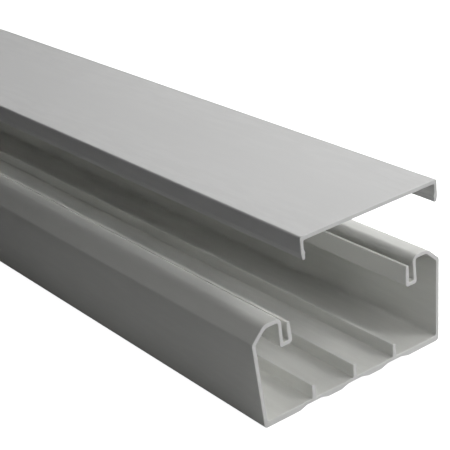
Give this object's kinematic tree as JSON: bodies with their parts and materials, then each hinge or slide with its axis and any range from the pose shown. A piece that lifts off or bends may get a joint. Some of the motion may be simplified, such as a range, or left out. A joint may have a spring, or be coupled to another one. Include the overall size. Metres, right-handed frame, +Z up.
{
  "type": "cord cover raceway",
  "caption": "Straight surface trunking: a ribbed cord channel with hollow rounded shoulders and slotted catch edges, under a lift-off snap cover.",
  "frame": {"origin": "on the underside of the base channel, midway across it and midway along the length that base and cover take up together", "axes": "+Z up from the mounting face to the cover, +Y along the length, away from the end where the cover sticks out, +X across the channel"},
  "size_m": [0.1, 2.016, 0.0839],
  "materials": {
    "base_plastic": "satin extruded plastic",
    "cover_plastic": "satin extruded plastic"
  },
  "bodies": {
    "trunking": {"base_channel": "base_plastic"},
    "cover": {"snap_cover": "cover_plastic"}
  },
  "joints": [
    {"name": "cover_lift", "type": "slide", "parent": "trunking", "child": "cover", "axis": [0, 0, 1], "range_m": [-0.04055, 0]}
  ]
}
